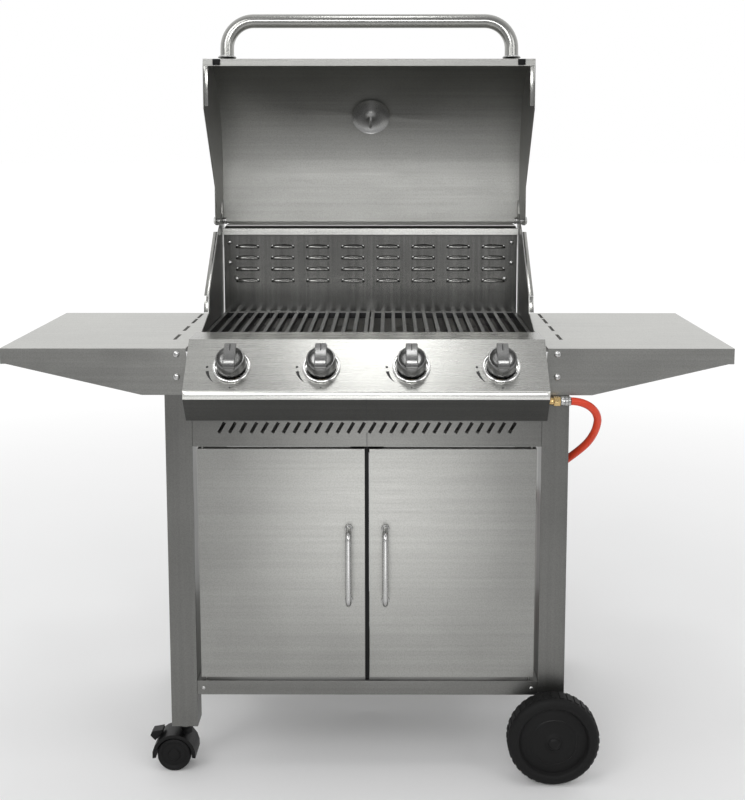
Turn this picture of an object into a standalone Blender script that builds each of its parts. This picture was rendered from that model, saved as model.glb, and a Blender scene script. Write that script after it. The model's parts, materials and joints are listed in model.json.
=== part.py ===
"""Four-burner gas barbecue grill on a wheeled cabinet, standing with its lid open.

Metres, +Z up, +X to the cook's right, -Y towards the cook. The origin is on the ground, under the
middle of the bounding box. Every part hangs on one empty, grill_frame, whose y = 0 is the front plane
of the side tables, so the sizes below are all measured back from that plane.
"""

from math import cos, pi, radians, sin

import bmesh
import bpy
from mathutils import Euler, Vector

GAP = 0.0003
SHEET = 0.0012
TABLE_FRONT_Y = -0.2282

# Legs: upright square tubes, the left pair on castors and the right pair on the wheel axle.
LEG_INNER, LEG_OUTER = 0.312, 0.360
LEG_FRONT, LEG_DEPTH = 0.0015, 0.0435
REAR_LEG_FRONT = 0.385
LEG_TOP = 0.757
LEG_WALL = 0.0015
LEG_MIDDLE = (LEG_INNER + LEG_OUTER) / 2
CASTOR_LEG_FOOT, AXLE_LEG_FOOT = 0.086, 0.064
FOOT_PLATE = 0.005

# Cabinet.
BETWEEN_LEGS = LEG_INNER - GAP
CABINET_BACK = 0.4285
FLOOR_TOP, RAIL_BOTTOM = 0.1745, 0.148
FASCIA_BOTTOM, FASCIA_TOP = 0.614, 0.6677
FASCIA_SLOTS, FASCIA_SLOT_PITCH = 28, 0.0192
FASCIA_SLOT_Z, FASCIA_SLOT_TALL, FASCIA_SLOT_WIDE = 0.6485, 0.0215, 0.0055
FASCIA_SLOT_LEAN = radians(30)

# Doors: pans that turn on pins near their outer edges.
DOOR_FACE, DOOR_DEPTH = 0.004, 0.016
DOOR_INNER, DOOR_OUTER = 0.004, 0.304
DOOR_BOTTOM, DOOR_TOP = 0.1805, 0.609
DOOR_PIN_X, DOOR_PIN_Y, DOOR_PIN_R = 0.296, 0.012, 0.003
DOOR_HANDLE_X, DOOR_HANDLE_LOW, DOOR_HANDLE_HIGH = 0.033, 0.3235, 0.4675
DOOR_HANDLE_R, DOOR_HANDLE_REACH = 0.005, 0.032

# Side tables: trays with sloping skirts, turned upside down.
TABLE_INNER, TABLE_OUTER, TABLE_TOP, TABLE_DEPTH = 0.3205, 0.650, 0.792, 0.430
SKIRT_END_LOW, SKIRT_LOW, SKIRT_LEVEL_X, SKIRT_INNER = 0.764, 0.708, 0.400, 0.319
TABLE_SLOT_X, TABLE_SLOT_WIDE, TABLE_SLOT_LONG = 0.357, 0.006, 0.060
TABLE_SLOT_STARTS = (0.093, 0.193, 0.287, 0.357)

# Control panel: the face leans back at 45 degrees and carries four knobs.
PANEL_HALF = 0.3175
PANEL_NOSE = (-0.064, 0.721)
PANEL_BEND = (0.020, 0.805)
PANEL_BACK = 0.100
FACE_LEAN = radians(45)
KNOB_X = [(i - 1.5) * 0.1575 for i in range(4)]
KNOB_FACE_CENTRE = (-0.022, 0.763)
BEZEL_R, KNOB_R, KNOB_FRONT, STEM_R = 0.0335, 0.0262, 0.030, 0.004
MANIFOLD_Y, MANIFOLD_Z, MANIFOLD_R = -0.0115, 0.700, 0.009
FITTING_END = 0.360

# Firebox.
FIREBOX_FRONT, FIREBOX_BACK, FIREBOX_BOTTOM, FIREBOX_RIM = 0.079, 0.419, 0.645, 0.802
FIREBOX_WALL = 0.0015
BURNER_Z, BURNER_R = 0.715, 0.0125
GRATE_LEDGE, TENT_LEDGE, BURNER_LEDGE = 0.7845, 0.7415, 0.7022
GRATE_THICK, GRATE_BARS, GRATE_BAR_WIDE, GRATE_EDGE = 0.012, 15, 0.0075, 0.011
BACK_WALL_TOP, LOUVRE_PITCH, LOUVRE_LONG, LOUVRE_TALL = 0.975, 0.074, 0.045, 0.005
LOUVRE_ROWS = (0.864, 0.8885, 0.9125, 0.936)
TRAY_HALF, TRAY_BOTTOM, TRAY_RIM = 0.280, 0.612, 0.635

# Lid, drawn closed about its hinge and stored open. Its side profile is (y, z) from the hinge.
HINGE_Y, HINGE_Z = 0.420, 0.990
LID_OPEN = radians(95.7)
LID_HALF = 0.325
LID_LIP = (-0.310, -0.175)
LID_BROW = (-0.320, -0.105)
LID_ARC_MIDDLE = (-0.100, -0.105)
LID_ARC_Y, LID_ARC_Z = 0.220, 0.200
LID_TOP = 0.095
LID_HANDLE_HALF, LID_HANDLE_R, LID_HANDLE_BEND = 0.2815, 0.0135, 0.053
LID_HANDLE_Y, LID_HANDLE_Z = -0.390, -0.140
THERMOMETER_ANGLE = radians(54)

# Wheels and castors.
AXLE_R, AXLE_Z = 0.005, 0.083
WHEEL_R, WHEEL_HALF = 0.083, 0.0235
WHEEL_MIDDLES = {"front": -0.0315, "rear": 0.4615}
CASTOR_R, CASTOR_TRAIL, CASTOR_HOOD_R = 0.031, 0.021, 0.040
CASTOR_MIDDLES = {"front": LEG_FRONT + LEG_DEPTH / 2, "rear": REAR_LEG_FRONT + 0.0215}

# Gas hose: 14 mm rubber, 1.73 m long, with its slack in a coil of two turns on the cabinet floor.
HOSE_R = 0.007
COIL_X, COIL_Y, COIL_R = 0.120, 0.230, 0.075
HOSE_HOLE_Y, HOSE_HOLE_Z, HOSE_HOLE_R = 0.098, 0.515, 0.020
HOSE_ROUTE = [
    (0.3608, MANIFOLD_Y, MANIFOLD_Z),
    (0.3767, -0.0101, 0.6978),
    (0.3915, -0.0061, 0.6914),
    (0.4032, 0.0001, 0.6815),
    (0.4107, 0.0079, 0.6689),
    (0.4133, 0.0166, 0.6551),
    (0.4108, 0.0293, 0.6348),
    (0.4025, 0.0423, 0.6138),
    (0.3889, 0.0541, 0.595),
    (0.361, 0.0745, 0.565),
    (0.336, 0.0895, 0.540),
    (0.314, 0.0985, 0.513),
    (0.297, 0.105, 0.480),
    (0.290, 0.112, 0.440),
    (0.287, 0.121, 0.390),
    (0.285, 0.131, 0.335),
    (0.281, 0.141, 0.284),
    (0.269, 0.149, 0.240),
    (0.245, 0.1535, 0.206),
    (0.212, 0.155, 0.1865),
    (0.170, 0.155, 0.1822),
]


def collection(name):
    made = bpy.data.collections.new(name)
    bpy.context.scene.collection.children.link(made)
    return made


def material(name, colour, roughness, metallic=0.0):
    made = bpy.data.materials.new(name)
    made.use_nodes = True
    shader = made.node_tree.nodes["Principled BSDF"]
    shader.inputs["Base Color"].default_value = (*colour, 1.0)
    shader.inputs["Roughness"].default_value = roughness
    shader.inputs["Metallic"].default_value = metallic
    made.diffuse_color = (*colour, 1.0)
    return made


def empty(name, location, rotation=(0, 0, 0), parent=None):
    made = bpy.data.objects.new(name, None)
    made.location, made.rotation_euler, made.parent = location, rotation, parent
    PARTS.objects.link(made)
    return made


def place(name, data, finish, location=(0, 0, 0), rotation=(0, 0, 0), parent=None):
    """A part; with no finish it is a hidden helper for a Boolean."""
    obj = bpy.data.objects.new(name, data)
    obj.location, obj.rotation_euler, obj.parent = location, rotation, parent or FRAME
    if finish is None:
        CUTTERS.objects.link(obj)
        obj.hide_render, obj.display_type = True, "WIRE"
    else:
        PARTS.objects.link(obj)
        data.materials.append(finish)
    return obj


def mesh_from(name, bm, smooth_below=None):
    mesh = bpy.data.meshes.new(name)
    bm.to_mesh(mesh)
    bm.free()
    if smooth_below:
        mesh.shade_smooth()
        mesh.set_sharp_from_angle(angle=radians(smooth_below))
    return mesh


def add_box(bm, low, high, turn=None):
    """A cube scaled to the box from low to high, and turned about its middle."""
    made = bmesh.ops.create_cube(bm, size=1)["verts"]
    size, middle = Vector(high) - Vector(low), (Vector(high) + Vector(low)) / 2
    bmesh.ops.scale(bm, vec=size, verts=made)
    if turn:
        bmesh.ops.rotate(bm, matrix=Euler(turn).to_matrix(), verts=made)
    bmesh.ops.translate(bm, vec=middle, verts=made)


def boxes(name, corners, finish=None, turn=None, **where):
    bm = bmesh.new()
    for low, high in corners:
        add_box(bm, low, high, turn)
    return place(name, mesh_from(name, bm), finish, **where)


def rod(name, start, end, radius, finish=None, sides=16, **where):
    """A cylinder from start to end."""
    start, end = Vector(start), Vector(end)
    bm = bmesh.new()
    bmesh.ops.create_cone(
        bm, cap_ends=True, segments=sides, radius1=radius, radius2=radius, depth=(end - start).length
    )
    turn = (end - start).to_track_quat("Z", "Y")
    bmesh.ops.rotate(bm, matrix=turn.to_matrix(), verts=bm.verts)
    bmesh.ops.translate(bm, vec=(start + end) / 2, verts=bm.verts)
    return place(name, mesh_from(name, bm, 40), finish, **where)


def turned(name, profile, finish=None, steps=24, closed=False, **where):
    """A profile of (radius, height), top to bottom down its outer side, turned about local Z."""
    bm = bmesh.new()
    points = [bm.verts.new((r, 0, h)) for r, h in profile]
    for a, b in zip(points, points[1:] + (points[:1] if closed else [])):
        bm.edges.new((a, b))
    obj = place(name, mesh_from(name, bm), finish, **where)
    screw = obj.modifiers.new("Turn", "SCREW")
    screw.steps = screw.render_steps = steps
    screw.use_merge_vertices, screw.merge_threshold = True, 0.0001
    screw.use_smooth_shade = True
    return obj


def thicken(obj, thickness, offset=-1.0):
    solid = obj.modifiers.new("Sheet", "SOLIDIFY")
    solid.thickness, solid.offset, solid.use_even_offset = thickness, offset, True
    solid.use_quality_normals = True
    return obj


def face_outwards(bm):
    """Turns an open shell's faces away from its middle."""
    bmesh.ops.recalc_face_normals(bm, faces=bm.faces)
    middle = sum((v.co for v in bm.verts), Vector()) / len(bm.verts)
    leaning = sum(f.normal.dot(f.calc_center_median() - middle) * f.calc_area() for f in bm.faces)
    if leaning < 0:
        bmesh.ops.reverse_faces(bm, faces=bm.faces)


def folded(name, profile, low, high, finish, thickness=SHEET, closing=(), caps=True, along="X", **where):
    """Sheet metal: a folded profile carried from low to high along X or Y, with its ends capped by the
    profile's own outline, which closing completes. The thickness lies inside the outline."""

    def at(distance, a, b):
        return (distance, a, b) if along == "X" else (a, distance, b)

    bm = bmesh.new()
    ends = []
    for distance in (low, high):
        edge = [bm.verts.new(at(distance, a, b)) for a, b in profile]
        rest = [bm.verts.new(at(distance, a, b)) for a, b in closing] if caps else []
        if caps:
            bm.faces.new(edge + rest)
        ends.append(edge)
    for i in range(len(profile) - 1):
        bm.faces.new((ends[0][i], ends[0][i + 1], ends[1][i + 1], ends[1][i]))
    bm.normal_update()
    face_outwards(bm)
    return thicken(place(name, mesh_from(name, bm, 30), finish, **where), thickness)


def plate(name, outline, thickness, finish=None, **where):
    """A flat outline of (x, z), as thick as given about its own plane."""
    bm = bmesh.new()
    bm.faces.new([bm.verts.new((x, 0, z)) for x, z in outline])
    return thicken(place(name, mesh_from(name, bm, 30), finish, **where), thickness, 0.0)


def tube(name, points, radius, finish, wall=0.0, rings=2, **where):
    """A round bar along the points, or an open-ended pipe where it has a wall."""
    curve = bpy.data.curves.new(name, "CURVE")
    curve.dimensions, curve.bevel_depth, curve.bevel_resolution = "3D", radius, rings
    curve.use_fill_caps = not wall
    spline = curve.splines.new("POLY")
    spline.points.add(len(points) - 1)
    for target, point in zip(spline.points, points):
        target.co = (*point, 1.0)
    obj = place(name, curve, finish, **where)
    return thicken(obj, wall, -1.0) if wall else obj


def combine(obj, other, operation):
    boolean = obj.modifiers.new(f"{operation} {other.name}", "BOOLEAN")
    boolean.operation, boolean.object = operation, other


def cut(obj, *tools):
    for tool in tools:
        combine(obj, tool, "DIFFERENCE")


def join(obj, *pieces):
    for piece in pieces:
        combine(obj, piece, "UNION")


def arc(middle, a, b, start, end, count):
    """Points of an ellipse with half-axes a and b, from one angle to another."""
    steps = [start + (end - start) * i / count for i in range(count + 1)]
    return [(middle[0] + a * cos(t), middle[1] + b * sin(t)) for t in steps]


def smooth(route, parts=2):
    """A Catmull-Rom curve through the route's points, which sets off along X."""
    points = [Vector(p) for p in route]
    lead = Vector((2 * points[0].x - points[1].x, points[1].y, points[1].z))
    ends = [lead, *points, points[-1] * 2 - points[-2]]
    made = []
    for a, b, c, d in zip(ends, ends[1:], ends[2:], ends[3:]):
        for t in (i / parts for i in range(parts)):
            made.append(
                0.5 * (2 * b + (c - a) * t + (2 * a - 5 * b + 4 * c - d) * t**2
                       + (3 * b - a - 3 * c + d) * t**3)
            )
    return made + [points[-1]]


def build_legs():
    for side, sign in (("left", -1), ("right", 1)):
        foot = CASTOR_LEG_FOOT if side == "left" else AXLE_LEG_FOOT
        for row, front in (("front", LEG_FRONT), ("rear", REAR_LEG_FRONT)):
            name = f"{row}_{side}_leg"
            back = front + LEG_DEPTH
            xs = sorted((sign * LEG_INNER, sign * LEG_OUTER))
            inner = sorted((sign * (LEG_INNER + LEG_WALL), sign * (LEG_OUTER - LEG_WALL)))
            leg = boxes(name, [((xs[0], front, foot), (xs[1], back, LEG_TOP))], STEEL)
            hollow = (
                (inner[0], front + LEG_WALL, foot + FOOT_PLATE),
                (inner[1], back - LEG_WALL, LEG_TOP + 0.02),
            )
            cut(leg, boxes(name + "_hollow", [hollow]))
            middle = (sign * LEG_MIDDLE, (front + back) / 2)
            if side == "left":
                hole = rod(name + "_stem_hole", (*middle, foot - 0.01), (*middle, foot + 0.02), 0.006)
            else:
                ends = [(middle[0], y, AXLE_Z) for y in (front - 0.01, back + 0.01)]
                hole = rod(name + "_axle_hole", *ends, AXLE_R + 0.0005)
            cut(leg, hole)


def build_cabinet():
    for side, sign in (("left", -1), ("right", 1)):
        name = f"{side}_side_panel"
        ys = (LEG_FRONT + LEG_DEPTH + GAP, REAR_LEG_FRONT - GAP)
        xs = sorted((sign * LEG_INNER, sign * (LEG_INNER + SHEET)))
        panel = boxes(name, [((xs[0], ys[0], 0.150), (xs[1], ys[1], LEG_TOP))], STEEL_DARK)
        rail = sorted((sign * (TRAY_HALF - 0.012), sign * (LEG_INNER + SHEET / 2)))
        low, high = (rail[0], 0.050, TRAY_BOTTOM - 0.0023), (rail[1], 0.380, TRAY_BOTTOM - GAP)
        join(panel, boxes(name + "_tray_rail", [(low, high)]))
        if side == "right":
            ends = [(x, HOSE_HOLE_Y, HOSE_HOLE_Z) for x in (LEG_INNER - 0.02, LEG_INNER + 0.02)]
            cut(panel, rod("hose_hole", *ends, HOSE_HOLE_R, sides=24))
    floor_profile = [
        (LEG_FRONT, RAIL_BOTTOM), (LEG_FRONT, FLOOR_TOP),
        (CABINET_BACK, FLOOR_TOP), (CABINET_BACK, RAIL_BOTTOM),
    ]
    floor = folded("cabinet_floor", floor_profile, -BETWEEN_LEGS, BETWEEN_LEGS, STEEL)
    fascia_profile = [
        (0.030, FASCIA_BOTTOM), (LEG_FRONT, FASCIA_BOTTOM), (LEG_FRONT, FASCIA_TOP), (0.030, FASCIA_TOP),
    ]
    fascia = folded("fascia_panel", fascia_profile, -BETWEEN_LEGS, BETWEEN_LEGS, STEEL)
    slots = []
    for i in range(FASCIA_SLOTS):
        x = (i - (FASCIA_SLOTS - 1) / 2) * FASCIA_SLOT_PITCH
        half = (FASCIA_SLOT_WIDE / 2, 0.01, FASCIA_SLOT_TALL / 2)
        middle = (x, LEG_FRONT, FASCIA_SLOT_Z)
        slots.append(([m - h for m, h in zip(middle, half)], [m + h for m, h in zip(middle, half)]))
    cut(fascia, boxes("fascia_slots", slots, turn=(0, FASCIA_SLOT_LEAN, 0)))
    for side, sign in (("left", -1), ("right", 1)):
        x = sign * DOOR_PIN_X
        ends = (x, DOOR_PIN_Y, 0.160), (x, DOOR_PIN_Y, 0.190)
        cut(floor, rod(f"{side}_floor_pin_hole", *ends, DOOR_PIN_R + 0.0005, sides=12))
        ends = (x, DOOR_PIN_Y, 0.605), (x, DOOR_PIN_Y, 0.630)
        cut(fascia, rod(f"{side}_fascia_pin_hole", *ends, DOOR_PIN_R + 0.0005, sides=12))
    catch = (-0.030, DOOR_FACE + DOOR_DEPTH + 0.0015, 0.598), (0.030, 0.034, FASCIA_BOTTOM - GAP)
    boxes("door_catch", [catch], BLACK_PLASTIC)


def build_doors():
    for side, sign in (("left", -1), ("right", 1)):
        axis = empty(f"{side}_door_axis", (sign * DOOR_PIN_X, DOOR_PIN_Y, 0), parent=FRAME)
        ys = (DOOR_FACE - DOOR_PIN_Y, DOOR_FACE + DOOR_DEPTH - DOOR_PIN_Y)
        profile = [(ys[1], DOOR_BOTTOM), (ys[0], DOOR_BOTTOM), (ys[0], DOOR_TOP), (ys[1], DOOR_TOP)]
        xs = sorted((sign * (DOOR_INNER - DOOR_PIN_X), sign * (DOOR_OUTER - DOOR_PIN_X)))
        door = folded(f"{side}_door", profile, *xs, STEEL, parent=axis)
        for end, z in (("lower", (0.1705, 0.188)), ("upper", (0.602, 0.6185))):
            ends = (0, 0, z[0]), (0, 0, z[1])
            join(door, rod(f"{side}_door_{end}_pin", *ends, DOOR_PIN_R, sides=12, parent=axis))
        x = sign * (DOOR_HANDLE_X - DOOR_PIN_X)
        face, reach, bend = ys[0] - GAP, DOOR_HANDLE_REACH, 0.014
        low, high = DOOR_HANDLE_LOW + DOOR_HANDLE_R, DOOR_HANDLE_HIGH - DOOR_HANDLE_R
        lower = arc((face - reach + bend, low + bend), bend, bend, -pi / 2, -pi, 5)
        upper = arc((face - reach + bend, high - bend), bend, bend, pi, pi / 2, 5)
        path = [(x, y, z) for y, z in [(face, low), *lower, *upper, (face, high)]]
        tube(f"{side}_door_handle", path, DOOR_HANDLE_R, STEEL_BRIGHT, parent=axis)


def build_side_tables():
    for side, sign in (("left", -1), ("right", 1)):
        profile = [(TABLE_INNER, TABLE_TOP), (TABLE_OUTER, TABLE_TOP), (TABLE_OUTER, SKIRT_END_LOW)]
        closing = [
            (TABLE_OUTER - 0.010, SKIRT_END_LOW), (SKIRT_LEVEL_X, SKIRT_LOW), (SKIRT_INNER, SKIRT_LOW),
            (SKIRT_INNER, TABLE_TOP - 0.007), (TABLE_INNER, TABLE_TOP - 0.007),
        ]
        profile, closing = ([(sign * x, z) for x, z in line] for line in (profile, closing))
        name = f"{side}_side_table"
        table = folded(name, profile, 0, TABLE_DEPTH, STEEL, closing=closing, along="Y")
        xs = sorted((sign * TABLE_SLOT_X - TABLE_SLOT_WIDE / 2, sign * TABLE_SLOT_X + TABLE_SLOT_WIDE / 2))
        slots = [
            ((xs[0], y, TABLE_TOP - 0.004), (xs[1], y + TABLE_SLOT_LONG, TABLE_TOP + 0.004))
            for y in TABLE_SLOT_STARTS
        ]
        cut(table, boxes(name + "_slots", slots))


def on_face(x, out, up=0.0):
    """A place out from the control panel's face, on the axis of the knob at x."""
    y = KNOB_FACE_CENTRE[0] - out * sin(FACE_LEAN) + up * cos(FACE_LEAN)
    return x, y, KNOB_FACE_CENTRE[1] + out * cos(FACE_LEAN) + up * sin(FACE_LEAN)


def build_control_panel():
    profile = [(-0.003, 0.668), (-0.026, 0.668), PANEL_NOSE, PANEL_BEND, (PANEL_BACK, PANEL_BEND[1])]
    closing = [(PANEL_BACK, 0.785), (-0.003, 0.765)]
    panel = folded("control_panel", profile, -PANEL_HALF, PANEL_HALF, STEEL_BRIGHT, closing=closing)
    ends = [(x, MANIFOLD_Y, MANIFOLD_Z) for x in (PANEL_HALF - 0.01, PANEL_HALF + 0.01)]
    cut(panel, rod("inlet_hole", *ends, MANIFOLD_R + 0.0015, sides=20))
    manifold = turned(
        "gas_manifold",
        [(0, 0.6185), (0.006, 0.6185), (MANIFOLD_R, 0.6155), (MANIFOLD_R, 0), (0, 0)],
        STEEL_DARK, steps=16, location=(-0.300, MANIFOLD_Y, MANIFOLD_Z), rotation=(0, pi / 2, 0),
    )
    for number, x in enumerate(KNOB_X, 1):
        turn = (FACE_LEAN, 0, 0)
        cut(panel, rod(f"stem_hole_{number}", on_face(x, -0.01), on_face(x, 0.01), 0.007))
        bezel = [
            (0.007, 0.0016), (BEZEL_R - 0.0045, 0.0016), (BEZEL_R - 0.003, 0.0038),
            (BEZEL_R, 0.0034), (BEZEL_R, 0), (0.007, 0),
        ]
        turned(
            f"knob_bezel_{number}", bezel, STEEL_BRIGHT, steps=20, closed=True,
            location=on_face(x, GAP), rotation=turn,
        )
        body = boxes(f"valve_body_{number}", [((-0.011, -0.030, -0.060), (0.011, 0.011, -0.020))],
                     location=on_face(x, 0), rotation=turn)
        nozzle = rod(f"valve_outlet_{number}", (x, 0.005, BURNER_Z), (x, 0.047, BURNER_Z), 0.004, sides=10)
        join(manifold, body, nozzle)
        axis = empty(f"knob_axis_{number}", on_face(x, 0), turn, FRAME)
        rod(f"valve_stem_{number}", (0, 0, -0.0195), (0, 0, 0.018), STEM_R, BRASS, 12, parent=axis)
        knob_profile = [
            (0, KNOB_FRONT), (KNOB_R - 0.0035, KNOB_FRONT), (KNOB_R - 0.0012, KNOB_FRONT - 0.0018),
            (KNOB_R, 0.0075), (KNOB_R, 0.0065),
            (STEM_R + 0.0005, 0.0065), (STEM_R + 0.0005, 0.022), (0, 0.022),
        ]
        knob = turned(f"control_knob_{number}", knob_profile, STEEL_BRIGHT, steps=24, parent=axis)
        grip = ((-0.0105, -0.0245, KNOB_FRONT - 0.004), (0.0105, 0.0245, KNOB_FRONT + 0.012))
        join(knob, boxes(f"knob_grip_{number}", [grip], parent=axis))
    fitting = [
        (0, FITTING_END), (0.0075, FITTING_END), (0.009, FITTING_END - 0.001), (0.009, 0.3435),
        (0.0072, 0.3425), (0.0088, 0.3415), (0.0088, 0.3295), (0.0065, 0.3285), (0.0065, 0.3188), (0, 0.3188),
    ]
    turned("inlet_fitting", fitting, BRASS, steps=16,
           location=(0, MANIFOLD_Y, MANIFOLD_Z), rotation=(0, pi / 2, 0))


def build_firebox():
    profile = [
        (FIREBOX_FRONT, FIREBOX_RIM), (FIREBOX_FRONT, 0.665), (0.125, FIREBOX_BOTTOM),
        (0.375, FIREBOX_BOTTOM), (FIREBOX_BACK, 0.665), (FIREBOX_BACK, 0.782),
    ]
    ear = arc((0.422, 1.0205), 0.014, 0.014, 0, pi, 6)
    wing = [(FIREBOX_BACK, 0.930), (0.436, 0.960), *ear, (0.406, 1.005), (0.345, 0.972),
            (0.213, 0.858), (0.205, 0.824), (0.120, FIREBOX_RIM)]
    box = folded(
        "firebox", profile, -BETWEEN_LEGS, BETWEEN_LEGS, ENAMEL, thickness=FIREBOX_WALL, closing=wing
    )
    inner = BETWEEN_LEGS - FIREBOX_WALL / 2
    front, back = FIREBOX_FRONT + FIREBOX_WALL / 2, FIREBOX_BACK - FIREBOX_WALL / 2
    ledges = [((-inner, back - 0.014, BURNER_LEDGE - 0.0015), (inner, back, BURNER_LEDGE))]
    for top, wide in ((GRATE_LEDGE, 0.016), (TENT_LEDGE, 0.010)):
        ledges.append(((-inner, front, top - 0.0015), (inner, front + wide, top)))
        ledges.append(((-inner, back - wide, top - 0.0015), (inner, back, top)))
    for number, ledge in enumerate(ledges, 1):
        join(box, boxes(f"firebox_ledge_{number}", [ledge]))
    for number, x in enumerate(KNOB_X, 1):
        ends = (x, FIREBOX_FRONT - 0.01, BURNER_Z), (x, FIREBOX_FRONT + 0.01, BURNER_Z)
        cut(box, rod(f"burner_hole_{number}", *ends, BURNER_R + 0.0015))
        shape = [
            (0, 0.343), (BURNER_R, 0.343), (BURNER_R, 0), (BURNER_R - 0.001, 0),
            (BURNER_R - 0.001, 0.342), (0, 0.342),
        ]
        turned(f"burner_{number}", shape, STEEL_DARK, steps=16,
               location=(x, 0.052, BURNER_Z), rotation=(-pi / 2, 0, 0))
        half, low, peak = 0.062, TENT_LEDGE + GAP, TENT_LEDGE + 0.029
        tent = [(x - half, low), (x - half, low + 0.006), (x, peak), (x + half, low + 0.006), (x + half, low)]
        folded(f"heat_tent_{number}", tent, 0.084, 0.409, STEEL_DARK, caps=False, along="Y")
    drain = (-0.060, 0.230, FIREBOX_BOTTOM - 0.01), (0.060, 0.270, FIREBOX_BOTTOM + 0.01)
    cut(box, boxes("grease_drain", [drain]))
    for side, sign in (("left", -1), ("right", 1)):
        ends = [(sign * (BETWEEN_LEGS + d), HINGE_Y, HINGE_Z) for d in (-0.01, 0.01)]
        cut(box, rod(f"{side}_wing_hole", *ends, 0.0045))
        pin = [
            (0, 0.3295), (0.007, 0.3295), (0.008, 0.3283), (0.008, 0.3254), (0.004, 0.3254),
            (0.004, 0.3098), (0.007, 0.3098), (0.007, 0.3030), (0, 0.3030),
        ]
        turned(f"{side}_lid_pin", pin, STEEL_BRIGHT, steps=12,
               location=(0, HINGE_Y, HINGE_Z), rotation=(0, sign * pi / 2, 0))
    wall = [(0.4135, GRATE_LEDGE + GAP), (0.4135, BACK_WALL_TOP), (0.394, BACK_WALL_TOP), (0.394, 0.962)]
    half = BETWEEN_LEGS - FIREBOX_WALL - 0.0015
    back_wall = folded("firebox_back_wall", wall, -half, half, ENAMEL_GREY, caps=False)
    louvres = [
        ((x - LOUVRE_LONG / 2, 0.400, z - LOUVRE_TALL / 2), (x + LOUVRE_LONG / 2, 0.425, z + LOUVRE_TALL / 2))
        for z in LOUVRE_ROWS for x in ((i - 3.5) * LOUVRE_PITCH for i in range(8))
    ]
    cut(back_wall, boxes("louvre_openings", louvres))
    for side, sign in (("left", -1), ("right", 1)):
        build_grate(side, sign)


def build_grate(side, sign):
    inner, outer = 0.0015, 0.3085
    front, back = FIREBOX_FRONT + FIREBOX_WALL + 0.001, 0.4118
    low, high = GRATE_LEDGE + GAP, GRATE_LEDGE + GAP + GRATE_THICK
    xs = sorted((sign * inner, sign * outer))
    grate = boxes(f"{side}_grate", [((xs[0], front, low), (xs[1], back, high))], CAST_IRON)
    pitch = (outer - inner - GRATE_BAR_WIDE) / (GRATE_BARS - 1)
    slots = []
    for i in range(GRATE_BARS - 1):
        start = xs[0] + GRATE_BAR_WIDE + i * pitch
        end = start + pitch - GRATE_BAR_WIDE
        slots.append(((start, front + GRATE_EDGE, low - 0.01), (end, back - GRATE_EDGE, high + 0.01)))
    cut(grate, boxes(f"{side}_grate_slots", slots))


def build_grease_tray():
    profile = [(0.036, TRAY_RIM), (0.036, TRAY_BOTTOM), (0.426, TRAY_BOTTOM), (0.426, TRAY_RIM)]
    folded("grease_tray", profile, -TRAY_HALF, TRAY_HALF, STEEL_DARK)


def build_lid():
    axis = empty("lid_axis", (0, HINGE_Y, HINGE_Z), (-LID_OPEN, 0, 0), FRAME)
    crown = arc(LID_ARC_MIDDLE, LID_ARC_Y, LID_ARC_Z, pi, pi / 2, 10)
    lip = (LID_LIP[0] + 0.014, LID_LIP[1])
    profile = [lip, LID_LIP, *crown, (0, LID_TOP), (0.010, -0.005)]
    closing = [(0.010, -0.014), (-0.012, -0.018), (-0.070, -0.024), (-0.215, -0.169)]
    lid = folded("lid", profile, -LID_HALF, LID_HALF, STEEL, closing=closing, parent=axis)
    slots = [
        ((x - 0.011, -0.02, 0.050), (x + 0.011, 0.03, 0.058)) for x in ((i - 4.5) * 0.055 for i in range(10))
    ]
    notches = [sorted_box(sign, (0.303, -0.008, -0.030), (0.320, 0.030, 0.052)) for sign in (-1, 1)]
    cut(lid, boxes("lid_slots", slots + notches, parent=axis))
    ends = (-LID_HALF - 0.01, 0, 0), (-LID_HALF + 0.01, 0, 0)
    cut(lid, rod("left_cap_hole", *ends, 0.0045, parent=axis))
    ends = (LID_HALF - 0.01, 0, 0), (LID_HALF + 0.01, 0, 0)
    cut(lid, rod("right_cap_hole", *ends, 0.0045, parent=axis))
    y = LID_ARC_MIDDLE[0] - LID_ARC_Y * cos(THERMOMETER_ANGLE)
    z = LID_ARC_MIDDLE[1] + LID_ARC_Z * sin(THERMOMETER_ANGLE)
    out = Vector((0, -cos(THERMOMETER_ANGLE) / LID_ARC_Y, sin(THERMOMETER_ANGLE) / LID_ARC_Z)).normalized()
    centre = Vector((0, y, z))
    cut(lid, rod("thermometer_hole", centre - out * 0.01, centre + out * 0.01, 0.0065, parent=axis))
    gauge = [
        (0, 0.012), (0.030, 0.012), (0.034, 0.009), (0.034, 0.001), (0.005, 0.001), (0.005, -0.0045),
        (0.012, -0.0045), (0.040, -0.010), (0.040, -0.0115), (0.012, -0.007), (0.010, -0.012),
        (0.003, -0.013), (0.003, -0.060), (0, -0.060),
    ]
    lean = Vector((0, 0, 1)).rotation_difference(out).to_euler()
    turned("lid_thermometer", gauge, STEEL_BRIGHT, steps=20, location=centre, rotation=lean, parent=axis)
    face, bend, half = LID_BROW[0] + 0.0025, LID_HANDLE_BEND, LID_HANDLE_HALF
    corner = arc((-half + bend, LID_HANDLE_Y + bend), bend, bend, pi, 1.5 * pi, 6)
    other = [(-x, y) for x, y in reversed(corner)]
    path = [(x, y, LID_HANDLE_Z) for x, y in [(-half, face), *corner, *other, (half, face)]]
    tube("lid_handle", path, LID_HANDLE_R, STEEL_BRIGHT, wall=0.0012, rings=2, parent=axis)


def sorted_box(sign, low, high):
    """A box given on the +X side, mirrored where the sign is negative."""
    xs = sorted((sign * low[0], sign * high[0]))
    return (xs[0], *low[1:]), (xs[1], *high[1:])


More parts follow.
